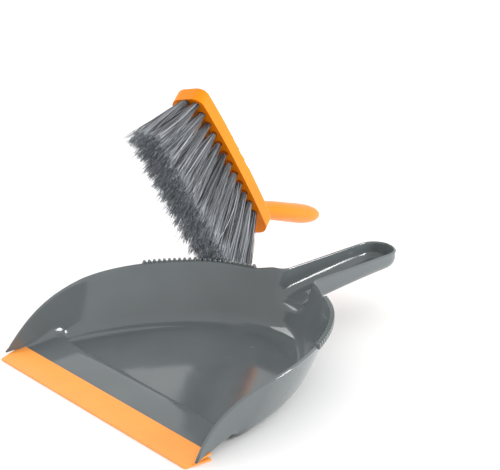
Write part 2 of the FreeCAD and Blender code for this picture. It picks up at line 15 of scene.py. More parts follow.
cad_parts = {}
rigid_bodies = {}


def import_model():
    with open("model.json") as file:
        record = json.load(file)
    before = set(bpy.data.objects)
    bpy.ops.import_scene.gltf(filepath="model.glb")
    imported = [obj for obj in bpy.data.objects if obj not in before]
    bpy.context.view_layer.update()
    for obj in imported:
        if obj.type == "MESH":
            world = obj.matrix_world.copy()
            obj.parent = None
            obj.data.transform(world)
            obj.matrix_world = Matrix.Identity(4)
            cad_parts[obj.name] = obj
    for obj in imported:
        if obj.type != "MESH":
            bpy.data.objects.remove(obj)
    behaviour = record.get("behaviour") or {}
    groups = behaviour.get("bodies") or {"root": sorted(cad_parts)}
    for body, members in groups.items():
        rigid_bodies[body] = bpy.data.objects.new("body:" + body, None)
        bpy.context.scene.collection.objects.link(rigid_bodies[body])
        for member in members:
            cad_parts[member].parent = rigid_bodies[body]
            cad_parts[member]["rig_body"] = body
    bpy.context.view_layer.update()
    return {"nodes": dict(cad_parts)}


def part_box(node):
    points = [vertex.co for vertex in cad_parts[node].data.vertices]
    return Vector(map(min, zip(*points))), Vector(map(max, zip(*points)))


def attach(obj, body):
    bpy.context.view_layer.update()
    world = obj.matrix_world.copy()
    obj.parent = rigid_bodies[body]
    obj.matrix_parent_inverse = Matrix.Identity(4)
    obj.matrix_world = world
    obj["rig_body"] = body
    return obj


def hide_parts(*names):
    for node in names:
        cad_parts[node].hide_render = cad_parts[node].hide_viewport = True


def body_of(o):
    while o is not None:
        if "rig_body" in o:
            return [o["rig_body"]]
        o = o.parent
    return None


bl_info = {
    "name": "Dust pan and brush",
    "version": (1, 0, 0),
    "blender": (4, 5, 0),
    "location": "View3D > Sidebar > Dust pan",
    "description": "Builds a glossy dust pan with a comb rim and a hand brush",
    "category": "Object",
}

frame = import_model()
MM = 0.001
PAN_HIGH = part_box("pan_body")[1]
LIP_LOW, LIP_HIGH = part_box("lip_strip")
FRONT = LIP_LOW.y / MM
TUFTS = sorted(name for name in frame["nodes"] if name.startswith("tuft_"))


# ------------------------------------------------------------------ helpers
def linear(hex_colour):
    """Linear red, green, blue and alpha of an sRGB hex colour."""
    parts = [int(hex_colour[i:i + 2], 16) / 255 for i in (1, 3, 5)]
    return tuple(c / 12.92 if c <= 0.04045 else ((c + 0.055) / 1.055) ** 2.4 for c in parts) + (1.0,)


def blend_value(low, high, share):
    return low + (high - low) * share


def smooth_share(value, start, end):
    """0 before start, 1 after end and an even S between them."""
    share = min(max((value - start) / (end - start), 0.0), 1.0)
    return share * share * (3 - 2 * share)


def hermite(nodes, value):
    """Height at value on a smooth line through nodes of (place, height, slope)."""
    if value <= nodes[0][0]:
        return nodes[0][1] + (value - nodes[0][0]) * nodes[0][2]
    for (x0, h0, s0), (x1, h1, s1) in zip(nodes, nodes[1:]):
        if value <= x1:
            span = x1 - x0
            t = (value - x0) / span
            return (h0 * (2 * t ** 3 - 3 * t ** 2 + 1) + h1 * (3 * t ** 2 - 2 * t ** 3)
                    + span * (s0 * (t ** 3 - 2 * t ** 2 + t) + s1 * (t ** 3 - t ** 2)))
    return nodes[-1][1]


def solve(function, goal, low, high):
    """Value between low and high at which a steadily falling function reaches the goal."""
    for _ in range(40):
        middle = (low + high) / 2
        if function(middle) > goal:
            low = middle
        else:
            high = middle
    return (low + high) / 2


def add_patch(bm, columns, rows, place):
    """Grid of columns by rows vertices, each moved to place(column, row) in millimetres."""
    made = bmesh.ops.create_grid(bm, x_segments=columns - 1, y_segments=rows - 1, size=1.0)
    for number, vertex in enumerate(made["verts"]):
        vertex.co = Vector(place(number % columns, number // columns)) * MM
    return made["verts"]


def add_tube(bm, rings):
    """Closed skin through rings of points in millimetres, each ring closed on itself."""
    count = len(rings[0])
    verts = add_patch(bm, count + 1, len(rings), lambda i, j: rings[j][i % count])
    bmesh.ops.remove_doubles(bm, verts=verts, dist=1e-7)
    alive = [v for v in verts if v.is_valid]
    edges = {e for v in alive for e in v.link_edges if e.is_boundary}
    bmesh.ops.holes_fill(bm, edges=list(edges), sides=0)


def finish_mesh(bm, name, smooth_angle=35.0, weld=2e-5, outward=True):
    """Makes an object of the mesh, welded, facing outwards and shaded smooth by angle."""
    bmesh.ops.remove_doubles(bm, verts=bm.verts, dist=weld)
    bmesh.ops.dissolve_degenerate(bm, dist=1e-6, edges=bm.edges)
    if outward:
        bmesh.ops.recalc_face_normals(bm, faces=bm.faces)
    mesh = bpy.data.meshes.new(name)
    bm.to_mesh(mesh)
    bm.free()
    mesh.shade_smooth()
    mesh.set_sharp_from_angle(angle=math.radians(smooth_angle))
    piece = bpy.data.objects.new(name, mesh)
    bpy.context.scene.collection.objects.link(piece)
    return piece


def add_modifier(piece, kind, **settings):
    modifier = piece.modifiers.new(kind.title(), kind)
    for key, value in settings.items():
        setattr(modifier, key, value)
    return modifier


def apply_modifiers(piece):
    """Replaces the mesh by what its modifiers make of it."""
    graph = bpy.context.evaluated_depsgraph_get()
    mesh = bpy.data.meshes.new_from_object(piece.evaluated_get(graph))
    piece.modifiers.clear()
    piece.data = mesh


def dress(piece, material, body):
    """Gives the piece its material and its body."""
    piece.data.materials.clear()
    piece.data.materials.append(material)
    if body_of(piece) is None:
        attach(piece, body)


# ------------------------------------------------------------------ materials
def add_node(tree, kind, settings=None, links=None):
    """Adds a node; settings are its properties or input values, links are its inputs."""
    node = tree.nodes.new(kind)
    for key, value in (settings or {}).items():
        if key in node.inputs:
            node.inputs[key].default_value = value
        else:
            setattr(node, key, value)
    for key, source in (links or {}).items():
        tree.links.new(source, node.inputs[key])
    return node


def new_material(name):
    """Empty material with its output and a Principled shader; returns all three."""
    material = bpy.data.materials.new(name)
    material.use_nodes = True
    tree = material.node_tree
    tree.nodes.clear()
    shader = add_node(tree, "ShaderNodeBsdfPrincipled")
    add_node(tree, "ShaderNodeOutputMaterial", links={"Surface": shader.outputs["BSDF"]})
    return material, tree, shader


def grain(tree, spacing_mm, detail=2.0):
    """Noise in object space whose features are spacing_mm apart."""
    place = add_node(tree, "ShaderNodeTexCoord").outputs["Object"]
    return add_node(tree, "ShaderNodeTexNoise", {"Scale": 1 / (spacing_mm * MM), "Detail": detail},
                    {"Vector": place}).outputs["Fac"]


def ramp(tree, source, stops):
    """Colour ramp with stops of (position, linear colour)."""
    node = add_node(tree, "ShaderNodeValToRGB", links={"Fac": source})
    elements = node.color_ramp.elements
    for element, (position, colour) in zip(elements, (stops[0], stops[-1])):
        element.position = position
        element.color = colour
    for position, colour in stops[1:-1]:
        elements.new(position).color = colour
    return node.outputs["Color"]


def grey_ramp(tree, source, low, high):
    return ramp(tree, source, [(0.25, (low, low, low, 1.0)), (0.75, (high, high, high, 1.0))])


def glossy_polypropylene(colour):
    """Injection-moulded polypropylene from a polished tool: a mirror-like skin with the
    faint waves of shrinkage, and a fine scuff that dulls it in patches."""
    material, tree, shader = new_material("glossy_moulded_polypropylene")
    tone = grain(tree, 60.0)
    dark = tuple(c * 0.93 for c in colour[:3]) + (1.0,)
    light = tuple(min(c * 1.06, 1.0) for c in colour[:3]) + (1.0,)
    tree.links.new(ramp(tree, tone, [(0.3, dark), (0.7, light)]), shader.inputs["Base Color"])
    tree.links.new(grey_ramp(tree, grain(tree, 25.0, 4.0), 0.07, 0.13), shader.inputs["Roughness"])
    waves = add_node(tree, "ShaderNodeBump", {"Strength": 0.10, "Distance": 0.25 * MM},
                     {"Height": grain(tree, 28.0)})
    skin = add_node(tree, "ShaderNodeBump", {"Strength": 0.05, "Distance": 0.02 * MM},
                    {"Height": grain(tree, 1.2, 3.0), "Normal": waves.outputs["Normal"]})
    tree.links.new(skin.outputs["Normal"], shader.inputs["Normal"])
    shader.inputs["IOR"].default_value = 1.49
    shader.inputs["Specular IOR Level"].default_value = 0.6
    return material


def satin_elastomer(colour):
    """Thermoplastic elastomer: soft and satin, it scatters light a little below its skin and
    has a fine sandblasted grain."""
    material, tree, shader = new_material("satin_moulded_elastomer")
    dark = tuple(c * 0.94 for c in colour[:3]) + (1.0,)
    tree.links.new(ramp(tree, grain(tree, 18.0, 3.0), [(0.3, dark), (0.7, colour)]),
                   shader.inputs["Base Color"])
    skin = add_node(tree, "ShaderNodeBump", {"Strength": 0.25, "Distance": 0.05 * MM},
                    {"Height": grain(tree, 0.7, 3.0)})
    tree.links.new(skin.outputs["Normal"], shader.inputs["Normal"])
    shader.inputs["Roughness"].default_value = 0.48
    shader.inputs["IOR"].default_value = 1.5
    return material


def bright_polypropylene(colour):
    """Injection-moulded polypropylene in a strong colour: half gloss, with the faint waves
    of a thick moulding."""
    material, tree, shader = new_material("bright_moulded_polypropylene")
    dark = tuple(c * 0.92 for c in colour[:3]) + (1.0,)
    tree.links.new(ramp(tree, grain(tree, 35.0, 2.0), [(0.3, dark), (0.7, colour)]),
                   shader.inputs["Base Color"])
    tree.links.new(grey_ramp(tree, grain(tree, 9.0, 4.0), 0.26, 0.38), shader.inputs["Roughness"])
    waves = add_node(tree, "ShaderNodeBump", {"Strength": 0.10, "Distance": 0.15 * MM},
                     {"Height": grain(tree, 14.0)})
    tree.links.new(waves.outputs["Normal"], shader.inputs["Normal"])
    shader.inputs["IOR"].default_value = 1.49
    shader.inputs["Specular IOR Level"].default_value = 0.22
    return material


def extruded_filament(dark, middle, light):
    """Extruded polypropylene filament: each strand is one tone, with painted shade near its root and a
    painted highlight that makes it paler towards its tip; the surface is drawn smooth and shines along
    its length."""
    material, tree, shader = new_material("extruded_grey_filament")
    tone = add_node(tree, "ShaderNodeAttribute", {"attribute_name": "strand_tone"}).outputs["Fac"]
    tree.links.new(ramp(tree, tone, [(0.0, dark), (0.5, middle), (1.0, light)]),
                   shader.inputs["Base Color"])
    shader.inputs["Roughness"].default_value = 0.42
    shader.inputs["IOR"].default_value = 1.49
    return material


def zinc_wire():
    """Drawn and flattened zinc-plated wire: a dull bright metal with drawing lines."""
    material, tree, shader = new_material("zinc_plated_drawn_wire")
    tree.links.new(grey_ramp(tree, grain(tree, 0.8), 0.3, 0.45), shader.inputs["Roughness"])
    shader.inputs["Base Color"].default_value = linear("#C2C4C6")
    shader.inputs["Metallic"].default_value = 1.0
    return material


def studio_paper(colour):
    """Matt backdrop paper with a barely visible cloudiness."""
    material, tree, shader = new_material("matt_backdrop_paper")
    pale = tuple(c * 0.985 for c in colour[:3]) + (1.0,)
    tree.links.new(ramp(tree, grain(tree, 300.0), [(0.3, pale), (0.7, colour)]),
                   shader.inputs["Base Color"])
    shader.inputs["Roughness"].default_value = 0.9
    shader.inputs["Specular IOR Level"].default_value = 0.1
    return material


# ------------------------------------------------------------------ settings
def length_property(name, description, millimetres):
    return FloatProperty(name=name, description=description, default=millimetres * MM,
                         unit="LENGTH", precision=5)


def colour_property(name, description, hex_colour):
    return FloatVectorProperty(name=name, description=description, size=4, subtype="COLOR",
                               default=linear(hex_colour), min=0.0, max=1.0)


class PanSizes(bpy.types.PropertyGroup):
    """Sizes of the pan."""

    wall: length_property("Wall", "Wall thickness", 2.2)
    rim_half: length_property("Rim half width", "Half width of the rim", 130.5)
    rim_bend: length_property("Rim bend", "Where the rim starts to curve inwards", 88)
    rim_rear: length_property("Rim rear", "Rear of the rim", 232)
    rim_height: length_property("Rim height", "Height of the rim at the comb", 54)
    rim_dip: length_property("Rim dip", "How far the rim dips at the end of the comb", 2.6)
    base_half: length_property("Base half width", "Half width of the base", 119.5)
    base_front: length_property("Front half width", "Half width at the walls' front tips", 130.5)
    base_bend: length_property("Base bend", "Where the base starts to curve inwards", 56)
    base_rear: length_property("Base rear", "Rear of the base", 211)
    floor_round: length_property("Floor radius", "Radius between floor and wall", 11)
    crest: length_property("Ramp crest", "Height of the ramp's crest", 9.4)
    handle_half: length_property("Handle half width", "Half width of the handle", 19)
    handle_end: length_property("Handle end", "Rear end of the handle", 345)
    root_round: length_property("Root radius", "Radius between wall and channel", 8)
    tooth_pitch: length_property("Tooth pitch", "Pitch of the comb", 4.6)
    tooth_height: length_property("Tooth height", "Height of a tooth", 2.2)


class LipSizes(bpy.types.PropertyGroup):
    """Sizes of the lip strip."""

    skin: length_property("Skin", "Thickness of the strip's flanges", 1.3)
    nose: length_property("Nose", "Height of the front edge", 1.9)
    taper: length_property("Taper", "How much shorter each end is at the front", 3)
    rounding: length_property("Rounding", "Radius along the strip's edges", 0.5)


class BrushSizes(bpy.types.PropertyGroup):
    """Pose of the brush and make of its tufts."""

    turn: FloatVectorProperty(
        name="Turn", description="Turns about Z, Y and X that place the brush", size=3,
        default=(math.radians(-91), math.radians(-61), math.radians(25)), subtype="EULER")
    root_depth: length_property("Root depth", "Depth of a tuft below the block's face", 8.5)
    strand: length_property("Strand", "Diameter of a filament", 0.52)
    strands: IntProperty(name="Strands", description="Filaments in each tuft", default=200, min=3)
    unevenness: length_property("Unevenness", "Spread of the filaments' lengths", 1.8)
    spread: FloatProperty(name="Spread", description="Tips' spread over the solid tuft's",
                          default=1.55, min=0.5)


class Finishes(bpy.types.PropertyGroup):
    """Colours of the set."""

    pan: colour_property("Pan", "Grey of the pan", "#62686A")
    lip: colour_property("Lip", "Orange of the lip strip", "#FFA244")
    brush: colour_property("Brush", "Orange of the block and handle", "#FF8800")
    strand_dark: colour_property("Dark strands", "Darkest filaments", "#414245")
    strand_middle: colour_property("Strands", "Most filaments", "#85878B")
    # Pale filaments, and the painted highlight that lightens each strand towards its tip
    pale_strands_and_painted_tips: colour_property("Light strands", "Frayed ends", "#CDD4DB")
    backdrop: colour_property("Backdrop", "Floor and background", "#F7F7F6")


class StudioSettings(bpy.types.PropertyGroup):
    """Camera and lights."""

    aim: FloatVectorProperty(name="Aim", description="Point at the middle of the view", size=3,
                             default=(0.0468, 0.0037, 0.1326), subtype="TRANSLATION", unit="LENGTH")
    distance: length_property("Distance", "Camera to aim point", 1375)
    azimuth: FloatProperty(name="Azimuth", description="Camera's turn about Z", subtype="ANGLE",
                           default=math.radians(48.9))
    elevation: FloatProperty(name="Elevation", description="Camera above the horizon",
                             subtype="ANGLE", default=math.radians(21.68))
    lens: FloatProperty(name="Lens", description="Focal length in millimetres on a 36 mm sensor",
                        default=122.4, min=1.0)
    key: FloatProperty(name="Key light", description="Power of each soft light in watts",
                       default=9.0, min=0.0, unit="POWER")
    surround: FloatProperty(name="Surround", description="Strength of the white surroundings",
                            default=1.0, min=0.0)


# ------------------------------------------------------------------ the pan's form
class PanForm:
    """The pan's inner skin in millimetres, with Y measured from the front edge.

    A column is ("side", share) from the lip to the bend, ("bow", share) from the bend to the
    panel around the handle's root, or ("rear", x) across that panel.
    """

    BASE_POWER, RIM_POWER, LEAN_POWER = 1.42, 1.65, 0.85
    FRONT_Y, LIP_FOOT, CREST_Y, DROP_Y = 7.0, 24.0, 50.0, 61.0
    FLOOR_START = 17.0
    RIM_FADE, TIP_HEIGHT, LEVEL_FROM = 34.0, 4.5, 146.0
    PANEL_HALF = 45.0
    HANDLE_TOP = 55.2
    CHANNEL_ROOT, CHANNEL_TAIL, CHANNEL_ROUND = 30.0, 38.0, 11.0
    SIDE, BOW, BOTTOM, WALL_ROWS, ROUND_ROWS, FLOOR_ROWS = 30, 34, 12, 14, 6, 6
    BEAD = ((1.5, 0.0), (0.75, 0.25), (0.0, 0.8))

    def __init__(self, sizes):
        for key in ("wall", "rim_half", "rim_bend", "rim_rear", "rim_height", "rim_dip",
                    "base_half", "base_front", "base_bend", "base_rear", "floor_round", "crest",
                    "handle_half", "handle_end", "root_round", "tooth_pitch", "tooth_height"):
            setattr(self, key, getattr(sizes, key) / MM)
        crest = self.crest
        self.ramp = [(self.LIP_FOOT, 5.0, 0.177), (self.CREST_Y - 4, crest - 0.5, 0.17),
                     (self.CREST_Y, crest, 0.0), (self.CREST_Y + 4, crest - 1.5, -0.7),
                     (self.DROP_Y - 2, self.wall + 0.8, -0.6), (self.DROP_Y + 3, self.wall, 0.0)]
        self.columns = [("side", k / self.SIDE) for k in range(self.SIDE)]
        self.columns += [("bow", k / self.BOW) for k in range(self.BOW + 1)]
        self.panel = [("rear", self.PANEL_HALF * (1 - k / self.BOTTOM))
                      for k in range(1, self.BOTTOM + 1)]

    def outline(self, z):
        lean = max(z / self.rim_height, 0.0) ** self.LEAN_POWER
        return (blend_value(self.base_half, self.rim_half, lean),
                blend_value(self.base_front, self.rim_half - 1, lean),
                blend_value(self.base_bend, self.rim_bend, lean),
                blend_value(self.base_rear, self.rim_rear, lean),
                blend_value(self.BASE_POWER, self.RIM_POWER, lean))

    def bow(self, z, inset, turn):
        """Point on the rear curve; turn is 0 at the bend and 90 at the middle."""
        half, _, bend, rear, power = self.outline(z)

        def bare(degrees):
            angle = math.radians(degrees)
            return half * math.cos(angle), bend + (rear - bend) * math.sin(angle) ** (2 / power)

        (x, y), (x1, y1) = bare(turn), bare(turn + 0.5)
        length = math.hypot(x1 - x, y1 - y)
        return x - inset * (y1 - y) / length, y - inset * (x - x1) / length

    def point(self, column, z, inset):
        """Point of the wall's surface at a height, moved inwards by inset."""
        kind, share = column
        if kind == "side":
            half, front_half, bend, _, _ = self.outline(z)
            y = blend_value(self.FRONT_Y, bend, share)
            near_lip = ((bend - y) / (bend - self.FRONT_Y)) ** 2
            return blend_value(half, front_half, near_lip) - inset, y
        if kind == "bow":
            last = solve(lambda t: self.bow(z, inset, t)[0], self.PANEL_HALF, 20.0, 89.9)
            return self.bow(z, inset, last * share)
        return share, self.rear_y(share, z, inset)

    def rear_y(self, x, z, inset):
        if x <= 0:
            return self.bow(z, inset, 90.0)[1]
        turn = solve(lambda t: self.bow(z, inset, t)[0], x, 20.0, 89.99)
        return self.bow(z, inset, turn)[1]

    def floor_z(self, y):
        return hermite(self.ramp, y)

    def rounding(self, y):
        """Radius between floor and wall: small on the ramp, full behind it."""
        return blend_value(2.0, self.floor_round, smooth_share(y, self.LIP_FOOT, self.DROP_Y + 14))

    def foot(self, column):
        """Floor height and radius at a column."""
        radius = self.floor_round
        height = self.wall
        for _ in range(3):
            y = self.point(column, height, self.wall + radius)[1]
            height, radius = self.floor_z(y), self.rounding(y)
        return height, radius

    def rim_z(self, y):
        whole = 1 - math.exp((self.FRONT_Y - self.LEVEL_FROM) / self.RIM_FADE)
        rise = (1 - math.exp((self.FRONT_Y - min(y, self.LEVEL_FROM)) / self.RIM_FADE)) / whole
        height = blend_value(self.TIP_HEIGHT, self.rim_height, rise)
        return height - self.rim_dip * smooth_share(y, self.rim_rear - 40, self.rim_rear - 6)

    def rim_at(self, column):
        z = self.rim_height
        for _ in range(4):
            z = self.rim_z(self.point(column, z, 0)[1])
        return z

    def wall_rows(self, low, high):
        """Heights and outward flare of the rows of vertices from floor radius to rim."""
        bead = min(1.0, (high - low) / 6)
        rows = []
        last = high - self.BEAD[0][0] * bead
        for k in range(self.WALL_ROWS):
            rows.append((blend_value(low, last, k / self.WALL_ROWS), 0.0))
        return rows + [(high - drop * bead, flare * bead) for drop, flare in self.BEAD]

    def wall_point(self, column, row):
        floor, radius = self.foot(column)
        z, flare = self.wall_rows(floor + radius, self.rim_at(column))[row]
        x, y = self.point(column, z, self.wall - flare)
        return x, y, z

    def round_point(self, column, row):
        floor, radius = self.foot(column)
        angle = math.radians(90 * row / self.ROUND_ROWS)
        z = floor + radius * (1 - math.sin(angle))
        x, y = self.point(column, z, self.wall + radius * (1 - math.cos(angle)))
        return x, y, z

    def floor_point(self, column, row):
        x, y, z = self.round_point(column, self.ROUND_ROWS)
        return x * (1 - row / self.FLOOR_ROWS), y, z

    # The panel around the handle's root, the round edge into the channel, and the channel.
    def channel_low(self, y):
        start = self.base_rear + self.wall
        share = min(max((y - start) / (self.handle_end + 5 - start), 0.0), 1.0)
        return blend_value(self.CHANNEL_ROOT, self.CHANNEL_TAIL,
                           math.sin(share * math.pi / 2)) + self.wall

    def channel_half(self, y):
        half = self.handle_half - self.wall
        past = y - (self.handle_end - self.handle_half)
        return math.sqrt(max(half ** 2 - past ** 2, 0.0)) if past > 0 else half

    def channel_edge(self, number, y):
        """Place (x, z) and outward direction on the channel's section, from its middle up."""
        half = self.channel_half(y)
        radius = min(self.CHANNEL_ROUND - self.wall, half * 0.9)
        low = self.channel_low(y)
        arc = radius * math.pi / 2
        flat = half - radius
        upright = self.HANDLE_TOP - low - radius
        if number <= self.BOTTOM:
            length = (flat + arc / 2) * number / self.BOTTOM
        else:
            rows = self.wall_rows(0.0, arc / 2 + upright)
            length = flat + arc / 2 + rows[number - self.BOTTOM][0]
        if length <= flat:
            return (length, low), (0.0, -1.0)
        if length <= flat + arc:
            turn = (length - flat) / radius
            return ((flat + radius * math.sin(turn), low + radius * (1 - math.cos(turn))),
                    (math.sin(turn), -math.cos(turn)))
        return (half, low + radius + length - flat - arc), (1.0, 0.0)

    def flare_at(self, number):
        return self.wall_rows(0.0, 100.0)[number - self.BOTTOM][1] if number > self.BOTTOM else 0.0

    def panel_edge(self, number):
        """Outer edge of the panel: along the floor radius, then up beside the comb's end."""
        column = ("rear", self.PANEL_HALF * min(number / self.BOTTOM, 1.0))
        floor, radius = self.foot(column)
        low = floor + radius
        if number <= self.BOTTOM:
            return column[1], low
        return self.PANEL_HALF, self.wall_rows(low, self.rim_at(column))[number - self.BOTTOM][0]

    def panel_point(self, number, share):
        """Share runs from 0 at the panel's outer edge to 1 at the root's round edge."""
        x0, z0 = self.panel_edge(number)
        (x, z), (nx, nz) = self.channel_edge(number, self.base_rear)
        x1, z1 = x + nx * self.root_round, z + nz * self.root_round
        eased = smooth_share(share, 0.0, 1.0) if number > self.BOTTOM + 8 else share
        x, z = blend_value(x0, x1, share), blend_value(z0, z1, eased)
        return x, self.rear_y(x, z, self.wall - self.flare_at(number)), z

    def root_point(self, number, share):
        angle = math.radians(90 * share)
        (x, z), (nx, nz) = self.channel_edge(number, self.base_rear)
        out = self.root_round * (1 - math.sin(angle))
        flare = self.flare_at(number)
        x, z = x + nx * out, z + nz * out
        y = self.rear_y(x, z, self.wall - flare * math.cos(angle))
        y += self.root_round * (1 - math.cos(angle))
        return x + flare * math.sin(angle), y, z

    def channel_point(self, number, step, steps, end_steps):
        """Along the channel: step 0 is the round edge, then evenly to the round end."""
        x, y0, z = self.root_point(number, 1.0)
        if step == 0:
            return x, y0, z
        middle = self.handle_end - self.handle_half
        if step <= steps:
            y = blend_value(y0, middle, step / steps)
        else:
            angle = math.radians(90 * (step - steps) / end_steps)
            y = middle + (self.handle_half - self.wall) * math.sin(angle)
        (x, z), _ = self.channel_edge(number, y)
        flare = self.flare_at(number)
        past = max(y - middle, 0.0) / (self.handle_half - self.wall)
        return x + flare * math.sqrt(max(1 - past ** 2, 0.0)), y + flare * past, z

    def comb_line(self, count):
        """Evenly spaced (x, y, z, outward x, outward y) along the comb on the right side."""
        def rim_point(turn):
            z = self.rim_height
            for _ in range(3):
                x, y = self.bow(z, 0.0, turn)
                z = self.rim_z(y)
            return x, y, z

        steps = 240
        line = [rim_point(80.0 * k / steps) for k in range(steps + 1)]
        line = [p for p in line if p[1] >= self.LEVEL_FROM and p[0] >= self.PANEL_HALF - 1]
        reach = [0.0]
        for a, b in zip(line, line[1:]):
            reach.append(reach[-1] + math.hypot(b[0] - a[0], b[1] - a[1]))
        result = []
        for k in range(count):
            goal = reach[-1] * k / (count - 1)
            i = max(n for n in range(len(reach) - 1) if reach[n] <= goal + 1e-9)
            share = (goal - reach[i]) / (reach[i + 1] - reach[i])
            a, b = line[i], line[i + 1]
            length = math.hypot(b[0] - a[0], b[1] - a[1])
            out = ((b[1] - a[1]) / length, (a[0] - b[0]) / length)
            result.append(tuple(blend_value(p, q, share) for p, q in zip(a, b)) + out)
        return result, reach[-1]


def pan_skin(form):
    """Right half of the pan's inner skin as patches that share their border vertices."""
    bm = bmesh.new()

    def place(point):
        x, y, z = point
        return x, y + FRONT, z

    rows = form.WALL_ROWS + len(form.BEAD)
    columns = form.columns
    add_patch(bm, len(columns), rows, lambda i, j: place(form.wall_point(columns[i], j)))
    ring = columns + form.panel
    floor = [c for c in ring if c[0] != "side" or form.round_point(c, form.ROUND_ROWS)[1]
             >= form.FLOOR_START]
    add_patch(bm, len(floor), form.ROUND_ROWS + 1,
              lambda i, j: place(form.round_point(floor[i], j)))
    add_patch(bm, len(floor), form.FLOOR_ROWS + 1,
              lambda i, j: place(form.floor_point(floor[i], j)))
    numbers = form.BOTTOM + rows
    panel_steps, root_steps, steps, end_steps = 7, 5, 14, 8
    add_patch(bm, numbers, panel_steps + 1,
              lambda i, j: place(form.panel_point(i, j / panel_steps)))
    add_patch(bm, numbers, root_steps + 1,
              lambda i, j: place(form.root_point(i, j / root_steps)))
    add_patch(bm, numbers, steps + end_steps + 1,
              lambda i, j: place(form.channel_point(i, j, steps, end_steps)))
    return bm


def whole_pan(bm):
    """Welds and mirrors the half skin, and turns its face up."""
    bmesh.ops.remove_doubles(bm, verts=bm.verts, dist=4e-5)
    for vertex in bm.verts:
        if abs(vertex.co.x) < 2e-5:
            vertex.co.x = 0.0
    geometry = bm.verts[:] + bm.edges[:] + bm.faces[:]
    bmesh.ops.mirror(bm, geom=geometry, axis="X", merge_dist=1e-5)
    bmesh.ops.remove_doubles(bm, verts=bm.verts, dist=1e-5)
    bmesh.ops.dissolve_degenerate(bm, dist=1e-6, edges=bm.edges)
    bmesh.ops.recalc_face_normals(bm, faces=bm.faces)
    lowest = min(bm.faces, key=lambda f: f.calc_center_median().z)
    if lowest.normal.z < 0:
        bmesh.ops.reverse_faces(bm, faces=bm.faces)


def comb_mesh(form):
    """Band under the teeth and the teeth, on the right, mirrored to the left."""
    bm = bmesh.new()
    overhang, height, sunk = 1.2, 3.4, 0.1
    band_points, arch_steps, arch_power = 70, 8, 0.8
    inner_depth, rib_depth = height * 0.4, height * 0.9
    line, length = form.comb_line(band_points)
    rings = []
    for x, y, z, ox, oy in line:
        outer_x, outer_y = x + ox * overhang, y + oy * overhang + FRONT
        inner_x, inner_y = x - ox * form.wall, y - oy * form.wall + FRONT
        rings.append([(outer_x, outer_y, z - height), (outer_x, outer_y, z),
                      (inner_x, inner_y, z), (inner_x, inner_y, z - inner_depth)])
    add_tube(bm, rings)
    count = round(length / form.tooth_pitch)
    teeth, _ = form.comb_line(2 * count + 1)
    half = form.tooth_pitch * 0.34
    # Distance outwards from the rim and scale of the four sections of a tooth.
    sections = ((overhang + 0.6, 0.6), (overhang + 0.3, 1.0), (-form.wall + 0.5, 1.0),
                (-form.wall - 0.1, 0.7))
    for x, y, z, ox, oy in teeth[1::2]:
        along = (-oy, ox)
        rings = []
        for depth, scale in sections:
            ring = []
            # The first and last points are the feet of the rib that runs down the band.
            for step in range(arch_steps + 3):
                angle = math.pi * min(max(step - 1, 0), arch_steps) / arch_steps
                side = half * scale * math.cos(angle)
                top = form.tooth_height * scale * math.sin(angle) ** arch_power - sunk
                if step in (0, arch_steps + 2):
                    top = -rib_depth
                ring.append((x + ox * depth + along[0] * side, y + oy * depth + along[1] * side + FRONT,
                             z + top))
            rings.append(ring)
        add_tube(bm, rings)
    bmesh.ops.mirror(bm, geom=bm.verts[:] + bm.edges[:] + bm.faces[:], axis="X", merge_dist=0.0)
    return bm


# ------------------------------------------------------------------ operators
def settings():
    return bpy.context.scene.dustpan


class DUSTPAN_OT_pan(bpy.types.Operator):
    """Builds the pan, its comb and its gate mark"""

    bl_idname = "dustpan.pan"
    bl_label = "Pan"

    def execute(self, context):
        form = PanForm(settings().pan)
        bm = pan_skin(form)
        whole_pan(bm)
        pan = finish_mesh(bm, "pan_scoop", outward=False)
        add_modifier(pan, "SOLIDIFY", thickness=form.wall * MM, offset=-1.0, use_even_offset=True,
                     use_quality_normals=True)
        apply_modifiers(pan)
        hole = bmesh.new()
        inset, radius, hole_height = 15.0, 4.5, 0.04
        bmesh.ops.create_cone(hole, cap_ends=True, segments=48, radius1=radius * MM,
                              radius2=radius * MM, depth=0.1,
                              matrix=Matrix.Translation((0, PAN_HIGH.y - inset * MM, hole_height)))
        cutter = finish_mesh(hole, "hole_cutter")
        add_modifier(pan, "BOOLEAN", object=cutter, operation="DIFFERENCE", solver="EXACT")
        apply_modifiers(pan)
        bpy.data.objects.remove(cutter)
        add_modifier(pan, "BEVEL", width=0.45 * MM, segments=2, limit_method="ANGLE",
                     angle_limit=math.radians(50), harden_normals=False)
        apply_modifiers(pan)
        pan.data.shade_smooth()
        pan.data.set_sharp_from_angle(angle=math.radians(40))
        material = glossy_polypropylene(settings().finishes.pan)
        dress(pan, material, "pan")
        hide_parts("pan_body")

        comb = finish_mesh(comb_mesh(form), "pan_comb", smooth_angle=40.0, weld=1e-7)
        dress(comb, material, "pan")

        # Distance from the front edge, radius and height of the two low dots on the floor.
        dots = ((178.0, 2.4, 0.5), (150.0, 1.6, 0.25))
        marks = bmesh.new()
        for y, width, height in dots:
            made = bmesh.ops.create_uvsphere(marks, u_segments=24, v_segments=12, radius=1.0)
            bmesh.ops.scale(marks, verts=made["verts"], vec=(width * MM, width * MM, height * MM))
            bmesh.ops.translate(marks, verts=made["verts"],
                                vec=(0, (y + FRONT) * MM, form.wall * MM))
        dress(finish_mesh(marks, "pan_gate_mark"), material, "pan")
        return {"FINISHED"}


